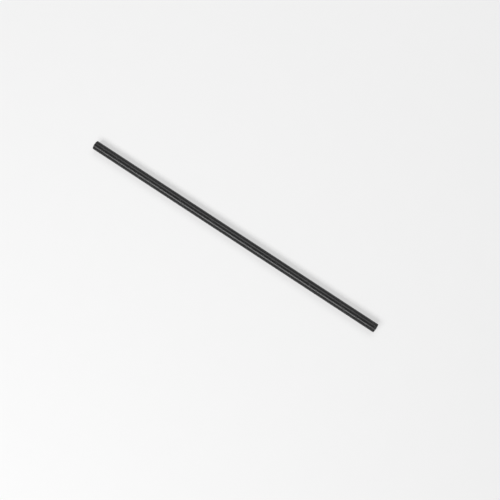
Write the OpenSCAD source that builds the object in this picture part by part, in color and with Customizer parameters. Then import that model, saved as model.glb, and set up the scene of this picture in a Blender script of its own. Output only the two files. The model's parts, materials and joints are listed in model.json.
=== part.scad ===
// Paper drinking straw, wound from strips of paper in a spiral and cut square at both ends.
// It lies on its side along X and rests on Z = 0, with the origin under the middle of its length.

/* [Tube] */
// Length from cut end to cut end
straw_length = 210; // [120:1:300]
// Diameter over the outside of the paper
outer_diameter = 6; // [5:0.1:12]
// Number of layers of paper wound on each other
plies = 3; // [2:1:5]
// Thickness of one layer of paper with its glue
ply_thickness = 0.13; // [0.08:0.01:0.2]

/* [Spiral seam] */
// Width of the paper strip that the outermost layer is wound from
strip_width = 14.8; // [8:0.1:15]
// Gap that is left between the edges of neighbouring turns of the outermost strip
seam_gap = 0.2; // [0.1:0.05:0.6]
// Direction around the straw of the seam at the left end, with 0 straight down and 180 straight up
seam_start = 270; // [0:5:355]

/* [Colour] */
// Colour of the dyed paper
paper_colour = "#1a1a1b";

/* [Hidden] */
outer_radius = outer_diameter / 2;
wall = plies * ply_thickness;
bore_radius = outer_radius - wall;
circumference = PI * outer_diameter;
// Angle between the seam and the straw's axis, at which the strip's turns meet edge to edge
seam_angle = acos(strip_width / circumference);
seam_pitch = circumference / tan(seam_angle);
seam_floor_radius = outer_radius - ply_thickness;
// How far cutting shapes reach past the surface that they cut
overshoot = ply_thickness;
seam_steps_per_turn = 20;
seam_width_along_axis = seam_gap / sin(seam_angle);
// The seam's cutter starts and ends one step past the cut ends
seam_first_step = -1;
seam_last_step = ceil(straw_length / seam_pitch * seam_steps_per_turn) + 1;
round_steps = 96;

// The four corners of the seam's section at one step along its helix
function seam_corners(step) = [
    let (turn_angle = seam_start + step * 360 / seam_steps_per_turn)
    let (middle = step * seam_pitch / seam_steps_per_turn)
    for (corner = [[0, -1], [0, 1], [1, 1], [1, -1]])
    let (radius = corner[0] == 0 ? seam_floor_radius : outer_radius + overshoot)
    [radius * cos(turn_angle), radius * sin(turn_angle), middle + corner[1] * seam_width_along_axis / 2]
];

// Helical cutter that leaves the seam between the turns of the outermost strip
module seam_cutter() {
    section_count = seam_last_step - seam_first_step + 1;
    corner_count = 4;
    points = [for (step = [seam_first_step:seam_last_step]) each seam_corners(step)];
    side_faces = [
        for (section = [0:section_count - 2], corner = [0:corner_count - 1])
        let (next_corner = (corner + 1) % corner_count)
        let (here = section * corner_count, there = here + corner_count)
        each [
            [here + corner, there + corner, there + next_corner],
            [here + corner, there + next_corner, here + next_corner]
        ]
    ];
    last = (section_count - 1) * corner_count;
    first_face = [for (corner = [0:corner_count - 1]) corner];
    last_face = [for (corner = [corner_count - 1:-1:0]) last + corner];
    polyhedron(points = points, faces = concat([first_face], side_faces, [last_face]));
}

// The wound and glued paper, one piece from end to end
module paper_tube() {
    color(paper_colour)
    translate([-straw_length / 2, 0, outer_radius])
    rotate([0, 90, 0])
    difference() {
        cylinder(h = straw_length, r = outer_radius, $fn = round_steps);
        translate([0, 0, -overshoot])
        cylinder(h = straw_length + 2 * overshoot, r = bore_radius, $fn = round_steps);
        seam_cutter();
    }
}

paper_tube();
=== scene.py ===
"""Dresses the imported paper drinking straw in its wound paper, in a pale studio seen from overhead.

The straw lies along X on Z = 0. Every length is in metres.
"""

import json
import math

import bpy
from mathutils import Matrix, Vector, noise


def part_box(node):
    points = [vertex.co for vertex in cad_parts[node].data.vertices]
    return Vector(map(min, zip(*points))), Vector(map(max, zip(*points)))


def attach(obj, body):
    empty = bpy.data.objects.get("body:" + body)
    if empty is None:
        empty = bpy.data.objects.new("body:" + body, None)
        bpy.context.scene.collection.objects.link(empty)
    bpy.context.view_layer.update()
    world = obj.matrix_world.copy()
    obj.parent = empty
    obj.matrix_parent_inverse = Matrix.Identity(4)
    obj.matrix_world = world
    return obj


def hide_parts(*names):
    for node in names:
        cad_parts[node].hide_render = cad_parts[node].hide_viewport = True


bl_info = {
    "name": "Paper Drinking Straw",
    "version": (1, 0, 0),
    "blender": (4, 5, 0),
    "location": "View3D > Sidebar > Straw",
    "description": "Builds a spiral-wound paper drinking straw and the pale studio it lies in",
    "category": "Add Mesh",
}

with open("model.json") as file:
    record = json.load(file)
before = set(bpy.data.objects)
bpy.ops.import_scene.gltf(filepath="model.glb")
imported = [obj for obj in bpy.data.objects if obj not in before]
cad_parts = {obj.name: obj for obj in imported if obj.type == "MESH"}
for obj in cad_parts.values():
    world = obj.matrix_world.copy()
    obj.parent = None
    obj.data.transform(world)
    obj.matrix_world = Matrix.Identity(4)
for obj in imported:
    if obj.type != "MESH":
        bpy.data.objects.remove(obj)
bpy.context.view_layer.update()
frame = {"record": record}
TUBE_NODE = "paper_tube"
TUBE_LOW, TUBE_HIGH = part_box(TUBE_NODE)
MM = 0.001
MOUNT_RADII = {mount["name"]: mount["dims"]["r_mm"] * MM for mount in frame["record"]["mounts"]}
OUTER_RADIUS = MOUNT_RADII["outside"]
BORE_RADIUS = MOUNT_RADII["bore"]
AXIS_HEIGHT = TUBE_LOW.z + OUTER_RADIUS
CIRCUMFERENCE = 2 * math.pi * OUTER_RADIUS


# Sizes and colours

class StrawShape(bpy.types.PropertyGroup):
    """Sizes of the wound paper."""

    strip_width: bpy.props.FloatProperty(
        name="Strip width",
        description="Width of the paper strip that the outermost layer is wound from",
        default=14.8 * MM, min=8 * MM, max=15 * MM, precision=4, subtype="DISTANCE",
    )
    seam_gap: bpy.props.FloatProperty(
        name="Seam gap",
        description="Gap between the edges of neighbouring turns of the outermost strip",
        default=0.2 * MM, min=0.1 * MM, max=0.6 * MM, precision=5, subtype="DISTANCE",
    )
    seam_start: bpy.props.FloatProperty(
        name="Seam start",
        description="Direction of the seam at the left end, with 0 straight down and 180 straight up",
        default=math.radians(270), subtype="ANGLE",
    )
    plies: bpy.props.IntProperty(
        name="Layers",
        description="Number of layers of paper wound on each other",
        default=3, min=2, max=5,
    )
    edge_rounding: bpy.props.FloatProperty(
        name="Edge rounding",
        description="How far the knife pressed the paper in at the cut ends",
        default=0.06 * MM, min=0.01 * MM, max=0.12 * MM, precision=5, subtype="DISTANCE",
    )
    unevenness: bpy.props.FloatProperty(
        name="Unevenness",
        description="Depth of the slow dips in the wound paper",
        default=0.03 * MM, min=0, max=0.05 * MM, precision=6, subtype="DISTANCE",
    )


class StrawFinish(bpy.types.PropertyGroup):
    """Colours and gloss of the paper."""

    paper_colour: bpy.props.FloatVectorProperty(
        name="Paper", description="Colour of the dyed paper", subtype="COLOR",
        size=3, min=0, max=1, default=(0.007, 0.007, 0.0074),
    )
    faded_colour: bpy.props.FloatVectorProperty(
        name="Faded fibres", description="Colour of the fibres that took less dye", subtype="COLOR",
        size=3, min=0, max=1, default=(0.022, 0.022, 0.0228),
    )
    # Lighter line beside the seam: worn fibre, and a painted highlight standing in for the light that the
    # strip's raised edge catches.
    worn_and_highlight_colour: bpy.props.FloatVectorProperty(
        name="Rubbed edge", description="Colour of the rubbed edge beside the seam", subtype="COLOR",
        size=3, min=0, max=1, default=(0.075, 0.075, 0.077),
    )
    cut_colour: bpy.props.FloatVectorProperty(
        name="Cut face", description="Colour of the cut paper at both ends", subtype="COLOR",
        size=3, min=0, max=1, default=(0.035, 0.035, 0.0362),
    )
    roughness: bpy.props.FloatProperty(
        name="Roughness", description="Roughness of the pressed surface of the paper",
        default=0.24, min=0.05, max=1, subtype="FACTOR",
    )
    refraction: bpy.props.FloatProperty(
        name="Gloss index", description="Refractive index of the dyed surface, which sets its gloss",
        default=1.36, min=1, max=2,
    )


class StrawStudio(bpy.types.PropertyGroup):
    """Camera, lamps and floor."""

    camera_place: bpy.props.FloatVectorProperty(
        name="Camera place", description="Place of the camera",
        default=(40.67 * MM, 0, 435.51 * MM), size=3, subtype="TRANSLATION",
    )
    camera_angles: bpy.props.FloatVectorProperty(
        name="Camera angles", description="Turn of the camera about X, Y and Z",
        default=(math.radians(1.732), math.radians(3.131), math.radians(33.25)), size=3, subtype="EULER",
    )
    bright_lamp_power: bpy.props.FloatProperty(
        name="Bright lamp", description="Power of the brighter soft lamp, on the -Y side",
        default=8.1, min=0, unit="POWER",
    )
    dim_lamp_power: bpy.props.FloatProperty(
        name="Dim lamp", description="Power of the dimmer soft lamp, on the +Y side",
        default=3.4, min=0, unit="POWER",
    )
    lamp_lean: bpy.props.FloatProperty(
        name="Lamp lean", description="Angle of both lamps from straight overhead",
        default=math.radians(39), subtype="ANGLE",
    )
    floor_size: bpy.props.FloatProperty(
        name="Floor size", description="Length of the floor's sides", default=8, min=1, subtype="DISTANCE",
    )
    floor_colour: bpy.props.FloatVectorProperty(
        name="Floor", description="Colour of the pale floor", subtype="COLOR",
        size=3, min=0, max=1, default=(0.44, 0.44, 0.44),
    )


# The straw's form

SEAM_SHOULDER = 0.55 * MM
SHOULDER_DROP = 0.02 * MM
GHOST_WIDTH = 1.1 * MM
GHOST_DEPTH = 0.014 * MM
BORE_SEAM_DEPTH = 0.06 * MM
FINEST_COLUMN_STEP = 0.06 * MM
PLAIN_COLUMN_STEP = 0.27 * MM
COLUMN_STEP_GROWTH = 1.5
OUTSIDE_RING_STEP = 0.36 * MM
BORE_RING_STEP = 1.5 * MM
CUT_STEPS = 9
GLUE_LINE_DEPTH = 0.035 * MM
TUFT_DEPTH = 0.015 * MM
TUFT_WIDTH = 0.14 * MM
RAGGED_EDGE_LENGTH = 1.3 * MM
BROAD_DIP_LENGTH = 6.0 * MM
BROAD_DIP_WIDTH = 2.6 * MM
FINE_DIP_LENGTH = 2.1 * MM
FINE_DIP_WIDTH = 1.0 * MM


class TubeForm:
    """The rule of the wound paper: where its surfaces lie at any place along and around the straw."""

    def __init__(self, shape):
        self.shape = shape
        self.slant = math.acos(shape.strip_width / CIRCUMFERENCE)
        self.pitch = CIRCUMFERENCE / math.tan(self.slant)
        self.half_gap = shape.seam_gap / math.cos(self.slant) / 2
        self.ply = (OUTER_RADIUS - BORE_RADIUS) / shape.plies

    def seam_direction(self, x):
        """Angle of the seam about the axis at x, from +Y towards +Z."""
        turned = 2 * math.pi * (x - TUBE_LOW.x) / self.pitch
        return self.shape.seam_start - math.pi / 2 + turned

    def strip_place(self, x, around):
        """Place along and across the flat strip, for an arc length around from the seam."""
        run = x - TUBE_LOW.x
        wound = run * CIRCUMFERENCE / self.pitch + around
        along = run * math.cos(self.slant) + wound * math.sin(self.slant)
        return along, around * math.cos(self.slant)

    def seam_dip(self, x, around):
        """The open seam, and the strip's edges that lean into it."""
        before = around > CIRCUMFERENCE / 2
        side = CIRCUMFERENCE - around if before else around
        edge_noise = noise.noise(Vector((x / RAGGED_EDGE_LENGTH, 5.0 if before else 11.0, 0.5)))
        edge = self.half_gap * (0.85 + 0.5 * edge_noise)
        if side < edge:
            return self.ply
        lean = max(0.0, 1 - (side - edge) / SEAM_SHOULDER)
        return SHOULDER_DROP * lean * lean

    def ghost_dip(self, around):
        """Faint dips over the seams of the layers underneath."""
        dip = 0.0
        for layer in range(1, self.shape.plies):
            middle = CIRCUMFERENCE * layer / self.shape.plies
            away = (around - middle) / GHOST_WIDTH
            dip += GHOST_DEPTH * math.exp(-4 * away * away)
        return dip

    def slow_dip(self, x, around):
        """Slow unevenness of glued paper, longer along the strip than across it."""
        along, across = self.strip_place(x, around)
        broad = noise.noise(Vector((along / BROAD_DIP_LENGTH, across / BROAD_DIP_WIDTH, 1.7)))
        fine = noise.noise(Vector((along / FINE_DIP_LENGTH, across / FINE_DIP_WIDTH, 9.1)))
        return self.shape.unevenness * (0.55 + 0.4 * broad + 0.12 * fine)

    def end_pinch(self, x):
        """How far the cut pressed the surface in at x."""
        rounding = self.shape.edge_rounding
        inside = min(x - TUBE_LOW.x, TUBE_HIGH.x - x)
        if inside >= rounding:
            return 0.0
        reach = 1 - inside / rounding
        return rounding * (1 - math.sqrt(max(0.0, 1 - reach * reach)))

    def outer_radius(self, x, around):
        dip = self.seam_dip(x, around) + self.ghost_dip(around) + self.slow_dip(x, around)
        return OUTER_RADIUS - dip - self.end_pinch(x)

    def bore_radius(self, x, around):
        """The bore's wall, with the inner strip's own seam half a turn from the outer one."""
        side = abs(around - CIRCUMFERENCE / 2)
        seam = BORE_SEAM_DEPTH if side < PLAIN_COLUMN_STEP else 0.0
        return BORE_RADIUS + seam + 0.5 * self.slow_dip(x, around) + 0.5 * self.end_pinch(x)


def column_places(form):
    """Arc lengths around from the seam at which each ring has corners, closest beside the seam."""
    near = [0.0, form.half_gap * 0.6, form.half_gap * 0.95]
    step = FINEST_COLUMN_STEP
    while step < PLAIN_COLUMN_STEP:
        near.append(near[-1] + step)
        step *= COLUMN_STEP_GROWTH
    plain = CIRCUMFERENCE - 2 * near[-1]
    count = round(plain / PLAIN_COLUMN_STEP)
    middle = [near[-1] + plain * i / count for i in range(1, count)]
    return near + middle + [CIRCUMFERENCE - place for place in reversed(near[1:])]


def ring_places(form, step):
    """Places of the rings along the straw, closest where the cut ends round off."""
    rounding = form.shape.edge_rounding
    near = [rounding * (1 - math.cos(math.radians(turn))) for turn in range(0, 91, 30)]
    first = TUBE_LOW.x + 2 * rounding
    last = TUBE_HIGH.x - 2 * rounding
    count = round((last - first) / step)
    middle = [first + (last - first) * i / count for i in range(count + 1)]
    return [TUBE_LOW.x + place for place in near] + middle + [TUBE_HIGH.x - place for place in reversed(near)]


# Mesh

PAPER = 0
CUT = 1


class Ring:
    """One ring of corners about the axis, with their places on the flat paper."""

    def __init__(self, start, radii, directions, places):
        self.start = start
        self.radii = radii
        self.directions = directions
        self.places = places

    def on_cut_face(self):
        """The same corners with their places on the flat cut face."""
        return Ring(self.start, self.radii, self.directions, flat_places(self.radii, self.directions))


def flat_places(radii, directions):
    """Places on the flat cut face, with the first one repeated at the end."""
    places = [(r * math.cos(d), r * math.sin(d)) for r, d in zip(radii, directions, strict=True)]
    return places + places[:1]


class TubeMesh:
    """Collects the straw's corners and faces, with each face's place on the paper and its finish."""

    def __init__(self):
        self.corners = []
        self.faces = []
        self.places = []
        self.finishes = []

    def add_corner(self, x, radius, direction):
        y = radius * math.cos(direction)
        z = AXIS_HEIGHT + radius * math.sin(direction)
        self.corners.append((x, y, z))

    def add_ring(self, form, x, columns, radius_at):
        seam = form.seam_direction(x)
        start = len(self.corners)
        radii = [radius_at(x, around) for around in columns]
        directions = [seam + around / OUTER_RADIUS for around in columns]
        for radius, direction in zip(radii, directions, strict=True):
            self.add_corner(x, radius, direction)
        closed = [*columns, columns[0] + CIRCUMFERENCE]
        places = [form.strip_place(x, around) for around in closed]
        return Ring(start, radii, directions, places)

    def add_band(self, first, second, finish, flipped):
        """Four-sided faces between two rings."""
        count = len(first.radii)
        for i in range(count):
            j = (i + 1) % count
            face = [first.start + i, first.start + j, second.start + j, second.start + i]
            place = [first.places[i], first.places[i + 1], second.places[i + 1], second.places[i]]
            if flipped:
                face.reverse()
                place.reverse()
            self.faces.append(face)
            self.places.append(place)
            self.finishes.append(finish)

    def add_wall(self, form, columns, radius_at, step, flipped):
        """One surface of the tube from end to end. Returns its first and last ring."""
        rings = [self.add_ring(form, x, columns, radius_at) for x in ring_places(form, step)]
        for first, second in zip(rings, rings[1:], strict=False):
            self.add_band(first, second, PAPER, flipped)
        return rings[0], rings[-1]

    def add_cut_end(self, form, x, inward, outside, bore):
        """The cut through the layers, with shallow lines of glue between them and loose tufts of fibre."""
        previous = outside.on_cut_face()
        for step in range(1, CUT_STEPS):
            share = step / CUT_STEPS
            radii = [out + (hole - out) * share for out, hole in zip(outside.radii, bore.radii, strict=True)]
            glue = 0.5 + 0.5 * math.cos(2 * math.pi * share * form.shape.plies)
            start = len(self.corners)
            for radius, direction in zip(radii, outside.directions, strict=True):
                tuft = noise.noise(Vector((radius * direction / TUFT_WIDTH, share * 8, x / MM)))
                depth = GLUE_LINE_DEPTH * glue + TUFT_DEPTH * (1 + tuft)
                self.add_corner(x + inward * depth, radius, direction)
            ring = Ring(start, radii, outside.directions, flat_places(radii, outside.directions))
            self.add_band(previous, ring, CUT, inward > 0)
            previous = ring
        self.add_band(previous, bore.on_cut_face(), CUT, inward > 0)

    def to_object(self, name, materials):
        mesh = bpy.data.meshes.new(name)
        mesh.from_pydata(self.corners, [], self.faces)
        layer = mesh.uv_layers.new(name="strip")
        layer.data.foreach_set("uv", [value for face in self.places for place in face for value in place])
        for material in materials:
            mesh.materials.append(material)
        mesh.polygons.foreach_set("material_index", self.finishes)
        mesh.polygons.foreach_set("use_smooth", [finish == PAPER for finish in self.finishes])
        mesh.update()
        made = bpy.data.objects.new(name, mesh)
        bpy.context.scene.collection.objects.link(made)
        return made


def straw_mesh(form):
    """The whole straw: the outside, the bore, and the two cut ends that join them."""
    mesh = TubeMesh()
    columns = column_places(form)
    left, right = mesh.add_wall(form, columns, form.outer_radius, OUTSIDE_RING_STEP, False)
    bore_left, bore_right = mesh.add_wall(form, columns, form.bore_radius, BORE_RING_STEP, True)
    mesh.add_cut_end(form, TUBE_LOW.x, 1, left, bore_left)
    mesh.add_cut_end(form, TUBE_HIGH.x, -1, right, bore_right)
    return mesh


# Materials

FIBRE_LENGTH = 0.9 * MM
FIBRE_WIDTH = 0.14 * MM
SPECK_LENGTH = 0.22 * MM
SPECK_WIDTH = 0.12 * MM
CLOUD_LENGTH = 4.2 * MM
CLOUD_WIDTH = 1.6 * MM
# Widths of the lighter line beside the seam, which is worn fibre and a painted highlight on the strip's edge.
WORN_AND_HIGHLIGHT_WIDTH_AFTER_SEAM = 0.22 * MM
WORN_AND_HIGHLIGHT_WIDTH_BEFORE_SEAM = 0.12 * MM
CLOUD_HEIGHT = 0.03 * MM
FIBRE_HEIGHT = 0.01 * MM
SPECK_HEIGHT = 0.006 * MM
CUT_FIBRE_WIDTH = 0.08 * MM
CUT_FIBRE_HEIGHT = 0.02 * MM
CUT_GLOSS_INDEX = 1.2

class MaterialGraph:
    """Short ways to add and join the nodes of one material."""

    def __init__(self, tree):
        self.tree = tree
        self.tree.nodes.clear()

    def add(self, kind, **values):
        node = self.tree.nodes.new(kind)
        for key, value in values.items():
            setattr(node, key, value)
        return node

    def join(self, source, target):
        self.tree.links.new(source, target)

    def math(self, operation, *operands):
        node = self.add("ShaderNodeMath", operation=operation)
        for socket, value in zip(node.inputs, operands, strict=False):
            if isinstance(value, bpy.types.NodeSocket):
                self.join(value, socket)
            else:
                socket.default_value = value
        return node.outputs[0]

    def noise(self, place, bump_length, bump_width, detail):
        """Noise with bumps of this length along the strip and this width across it."""
        mapping = self.add("ShaderNodeMapping")
        mapping.inputs["Scale"].default_value = (1 / bump_length, 1 / bump_width, 1)
        self.join(place, mapping.inputs["Vector"])
        made = self.add("ShaderNodeTexNoise")
        made.inputs["Scale"].default_value = 1
        made.inputs["Detail"].default_value = detail
        self.join(mapping.outputs[0], made.inputs["Vector"])
        return made.outputs["Fac"]

    def remap(self, value, low, high, new_low, new_high):
        node = self.add("ShaderNodeMapRange")
        for socket, number in zip(node.inputs[1:5], (low, high, new_low, new_high), strict=True):
            socket.default_value = number
        self.join(value, node.inputs[0])
        return node.outputs[0]

    def blend(self, share, first, second):
        """Mixes two colours, each of them a socket or three numbers."""
        node = self.add("ShaderNodeMix", data_type="RGBA")
        self.join(share, node.inputs[0])
        for socket, value in ((node.inputs[6], first), (node.inputs[7], second)):
            if isinstance(value, bpy.types.NodeSocket):
                self.join(value, socket)
            else:
                socket.default_value = (*value, 1)
        return node.outputs[2]

    def bump(self, height, distance, strength, normal=None):
        node = self.add("ShaderNodeBump")
        node.inputs["Distance"].default_value = distance
        node.inputs["Strength"].default_value = strength
        self.join(height, node.inputs["Height"])
        if normal is not None:
            self.join(normal, node.inputs["Normal"])
        return node.outputs[0]


def new_material(name):
    material = bpy.data.materials.new(name)
    material.use_nodes = True
    return material, MaterialGraph(material.node_tree)


def finish_material(graph, shader):
    out = graph.add("ShaderNodeOutputMaterial")
    graph.join(shader.outputs[0], out.inputs["Surface"])


def dyed_paper(form, finish):
    """Pressed black paper: fibres along the strip, faint mottling, and a lighter line beside the seam, which
    is worn fibre and a painted highlight on the strip's raised edge.
    """
    material, graph = new_material("dyed_paper")
    place = graph.add("ShaderNodeUVMap", uv_map="strip").outputs[0]
    parts = graph.add("ShaderNodeSeparateXYZ")
    graph.join(place, parts.inputs[0])
    across = parts.outputs[1]
    fibres = graph.noise(place, FIBRE_LENGTH, FIBRE_WIDTH, 3)
    specks = graph.noise(place, SPECK_LENGTH, SPECK_WIDTH, 2)
    clouds = graph.noise(place, CLOUD_LENGTH, CLOUD_WIDTH, 2)
    faded = graph.remap(fibres, 0.5, 0.8, 0, 0.55)
    colour = graph.blend(faded, tuple(finish.paper_colour), tuple(finish.faded_colour))
    cloudy = graph.remap(clouds, 0.45, 0.75, 0, 0.25)
    colour = graph.blend(cloudy, colour, tuple(finish.faded_colour))
    # Painted highlight, with worn fibre: a lighter line along the seam, full strength on one side and half
    # strength on the other, broken up by specks.
    edge = form.shape.seam_gap / 2
    after = graph.remap(across, edge, edge + WORN_AND_HIGHLIGHT_WIDTH_AFTER_SEAM, 1, 0)
    width = form.shape.strip_width
    before = graph.remap(across, width - edge - WORN_AND_HIGHLIGHT_WIDTH_BEFORE_SEAM, width - edge, 0, 0.5)
    wear_and_highlight = graph.math("MAXIMUM", after, before)
    wear_and_highlight = graph.math("MULTIPLY", wear_and_highlight, graph.remap(specks, 0.38, 0.6, 0.25, 1))
    colour = graph.blend(wear_and_highlight, colour, tuple(finish.worn_and_highlight_colour))
    rough = finish.roughness
    grain = graph.remap(fibres, 0.3, 0.75, rough - 0.05, rough + 0.06)
    roughness = graph.math("ADD", grain, graph.remap(clouds, 0.3, 0.7, -0.05, 0.05))
    normal = graph.bump(clouds, CLOUD_HEIGHT, 0.5)
    normal = graph.bump(fibres, FIBRE_HEIGHT, 0.5, normal)
    normal = graph.bump(specks, SPECK_HEIGHT, 0.5, normal)
    shader = graph.add("ShaderNodeBsdfPrincipled")
    shader.inputs["IOR"].default_value = finish.refraction
    graph.join(colour, shader.inputs["Base Color"])
    graph.join(roughness, shader.inputs["Roughness"])
    graph.join(normal, shader.inputs["Normal"])
    finish_material(graph, shader)
    return material


def cut_paper(form, finish):
    """The matt, fibrous face that the knife leaves, with darker lines of glue between the layers."""
    material, graph = new_material("cut_paper")
    place = graph.add("ShaderNodeUVMap", uv_map="strip").outputs[0]
    fibres = graph.noise(place, CUT_FIBRE_WIDTH, CUT_FIBRE_WIDTH, 3)
    length = graph.add("ShaderNodeVectorMath", operation="LENGTH")
    graph.join(place, length.inputs[0])
    depth = graph.math("SUBTRACT", length.outputs["Value"], BORE_RADIUS)
    layer = graph.math("FRACT", graph.math("DIVIDE", depth, form.ply))
    from_middle = graph.math("ABSOLUTE", graph.math("SUBTRACT", layer, 0.5))
    paper = graph.remap(from_middle, 0.3, 0.5, 1, 0)
    share = graph.math("MULTIPLY", paper, graph.remap(fibres, 0.3, 0.65, 0.3, 1))
    light = tuple(3 * part for part in finish.cut_colour)
    colour = graph.blend(share, tuple(finish.cut_colour), light)
    shader = graph.add("ShaderNodeBsdfPrincipled")
    shader.inputs["IOR"].default_value = CUT_GLOSS_INDEX
    graph.join(colour, shader.inputs["Base Color"])
    graph.join(graph.remap(fibres, 0.3, 0.7, 0.75, 0.95), shader.inputs["Roughness"])
    graph.join(graph.bump(fibres, CUT_FIBRE_HEIGHT, 0.8), shader.inputs["Normal"])
    finish_material(graph, shader)
    return material


# Studio

LAMP_DISTANCE = 1.0
LAMP_LENGTH = 0.75
BRIGHT_LAMP_WIDTH = 0.4
DIM_LAMP_WIDTH = 0.5
LAMP_SHIFT = -0.1
FLOOR_GLOW = 0.5
LIT_FLOOR_REACH = 0.3
WHITE_FLOOR_START = 1.0
FLOOR_GRAIN = 15 * MM
FLOOR_DEPTH = 0.02 * MM
CEILING_START = 0.2
CEILING_FULL = 0.4
CEILING_TONE = 0.56
FILL_LIGHT = 0.12
WHITE = (1, 1, 1, 1)
CAMERA_LENS_MM = 50
CAMERA_SENSOR_MM = 36


def seen_directly(graph):
    """1 for what the camera, gloss or glass sees, and 0 for light that falls on matt surfaces."""
    path = graph.add("ShaderNodeLightPath")
    shown = graph.math("MAXIMUM", path.outputs["Is Camera Ray"], path.outputs["Is Glossy Ray"])
    return graph.math("MAXIMUM", shown, path.outputs["Is Transmission Ray"])


def pale_floor(studio):
    """A pale matt floor that keeps the straw's soft shadow, and fades to plain white far from the lamps."""
    material, graph = new_material("pale_floor")
    place = graph.add("ShaderNodeTexCoord").outputs["Object"]
    grain = graph.noise(place, FLOOR_GRAIN, FLOOR_GRAIN, 2)
    share = graph.remap(grain, 0.3, 0.7, 0, 1)
    plain = tuple(studio.floor_colour)
    lighter = tuple(1.01 * part for part in plain)
    colour = graph.blend(share, plain, lighter)
    away = graph.add("ShaderNodeVectorMath", operation="LENGTH")
    graph.join(place, away.inputs[0])
    far = graph.remap(away.outputs["Value"], LIT_FLOOR_REACH, WHITE_FLOOR_START, 0, 1)
    colour = graph.blend(far, colour, (0, 0, 0))
    matt = graph.add("ShaderNodeBsdfDiffuse")
    graph.join(colour, matt.inputs["Color"])
    glow = graph.add("ShaderNodeEmission")
    strength = graph.math("ADD", FLOOR_GLOW, graph.math("MULTIPLY", far, 1 - FLOOR_GLOW))
    graph.join(graph.math("MULTIPLY", seen_directly(graph), strength), glow.inputs["Strength"])
    both = graph.add("ShaderNodeAddShader")
    graph.join(matt.outputs[0], both.inputs[0])
    graph.join(glow.outputs[0], both.inputs[1])
    finish_material(graph, both)
    return material


def add_floor(studio):
    half = studio.floor_size / 2
    mesh = bpy.data.meshes.new("floor")
    corners = [(-half, -half, 0), (half, -half, 0), (half, half, 0), (-half, half, 0)]
    mesh.from_pydata(corners, [], [(0, 1, 2, 3)])
    mesh.materials.append(pale_floor(studio))
    floor = bpy.data.objects.new("floor", mesh)
    floor.location.z = TUBE_LOW.z - FLOOR_DEPTH
    bpy.context.scene.collection.objects.link(floor)


def add_world():
    """White near the horizon, and a dimmer ceiling overhead."""
    world = bpy.data.worlds.new("pale_room")
    world.use_nodes = True
    graph = MaterialGraph(world.node_tree)
    parts = graph.add("ShaderNodeSeparateXYZ")
    graph.join(graph.add("ShaderNodeTexCoord").outputs["Generated"], parts.inputs[0])
    shown = graph.remap(parts.outputs[2], CEILING_START, CEILING_FULL, 1, CEILING_TONE)
    extra = graph.math("MULTIPLY", seen_directly(graph), graph.math("SUBTRACT", shown, FILL_LIGHT))
    background = graph.add("ShaderNodeBackground")
    background.inputs["Color"].default_value = WHITE
    graph.join(graph.math("ADD", extra, FILL_LIGHT), background.inputs["Strength"])
    out = graph.add("ShaderNodeOutputWorld")
    graph.join(background.outputs[0], out.inputs["Surface"])
    bpy.context.scene.world = world


def add_lamp(name, lean, width, power):
    """A long soft lamp in line with the straw, leaning by an angle from straight overhead towards +Y."""
    data = bpy.data.lights.new(name, "AREA")
    data.shape = "RECTANGLE"
    data.size = LAMP_LENGTH
    data.size_y = width
    data.energy = power
    lamp = bpy.data.objects.new(name, data)
    lamp.location = (LAMP_SHIFT, LAMP_DISTANCE * math.sin(lean), LAMP_DISTANCE * math.cos(lean))
    lamp.rotation_euler = (-lean, 0, 0)
    lamp.visible_camera = False
    bpy.context.scene.collection.objects.link(lamp)


def add_camera(studio):
    """A camera overhead, turned so that the straw runs from the upper left to the lower right."""
    data = bpy.data.cameras.new("overhead_camera")
    data.lens = CAMERA_LENS_MM
    data.sensor_width = CAMERA_SENSOR_MM
    data.clip_start = 0.01
    data.clip_end = 50
    camera = bpy.data.objects.new("overhead_camera", data)
    camera.location = studio.camera_place
    camera.rotation_euler = studio.camera_angles
    bpy.context.scene.collection.objects.link(camera)
    bpy.context.scene.camera = camera


# Operators and panel

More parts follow.
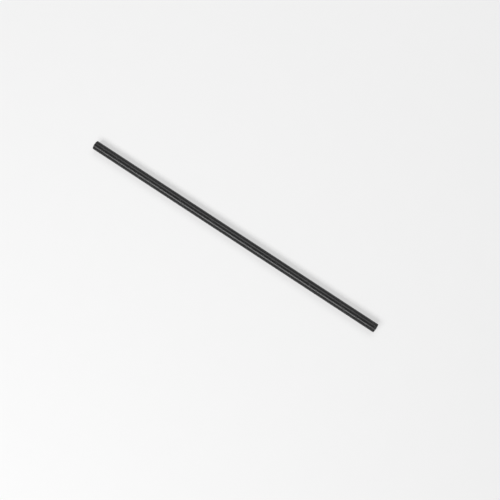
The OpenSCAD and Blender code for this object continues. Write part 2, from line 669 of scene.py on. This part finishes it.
class STRAW_OT_paper_tube(bpy.types.Operator):
    """Build the wound paper tube with its spiral seam and cut ends"""

    bl_idname = "straw.paper_tube"
    bl_label = "Paper Tube"

    def execute(self, context):
        scene = context.scene
        form = TubeForm(scene.straw_shape)
        materials = [dyed_paper(form, scene.straw_finish), cut_paper(form, scene.straw_finish)]
        tube = straw_mesh(form).to_object("wound_paper_tube", materials)
        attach(tube, "root")
        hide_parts(TUBE_NODE)
        return {"FINISHED"}


class STRAW_OT_studio(bpy.types.Operator):
    """Build the pale floor, the room's light and the overhead camera"""

    bl_idname = "straw.studio"
    bl_label = "Studio"

    def execute(self, context):
        studio = context.scene.straw_studio
        add_floor(studio)
        add_world()
        add_lamp("bright_lamp", -studio.lamp_lean, BRIGHT_LAMP_WIDTH, studio.bright_lamp_power)
        add_lamp("dim_lamp", studio.lamp_lean, DIM_LAMP_WIDTH, studio.dim_lamp_power)
        add_camera(studio)
        context.scene.view_settings.view_transform = "Standard"
        return {"FINISHED"}


class STRAW_PT_panel(bpy.types.Panel):
    """Sizes, colours and building steps of the straw"""

    bl_idname = "STRAW_PT_panel"
    bl_label = "Paper Drinking Straw"
    bl_space_type = "VIEW_3D"
    bl_region_type = "UI"
    bl_category = "Straw"

    def draw(self, context):
        scene = context.scene
        for settings in (scene.straw_shape, scene.straw_finish, scene.straw_studio):
            box = self.layout.box()
            for name in type(settings).__annotations__:
                box.prop(settings, name)
        self.layout.operator(STRAW_OT_paper_tube.bl_idname)
        self.layout.operator(STRAW_OT_studio.bl_idname)


CLASSES = (StrawShape, StrawFinish, StrawStudio, STRAW_OT_paper_tube, STRAW_OT_studio, STRAW_PT_panel)
SETTINGS = {"straw_shape": StrawShape, "straw_finish": StrawFinish, "straw_studio": StrawStudio}


def register():
    for item in CLASSES:
        bpy.utils.register_class(item)
    for name, group in SETTINGS.items():
        setattr(bpy.types.Scene, name, bpy.props.PointerProperty(type=group))


def unregister():
    for name in SETTINGS:
        delattr(bpy.types.Scene, name)
    for item in reversed(CLASSES):
        bpy.utils.unregister_class(item)


def main():
    register()
    bpy.ops.straw.paper_tube()
    bpy.ops.straw.studio()


if __name__ == "__main__":
    main()
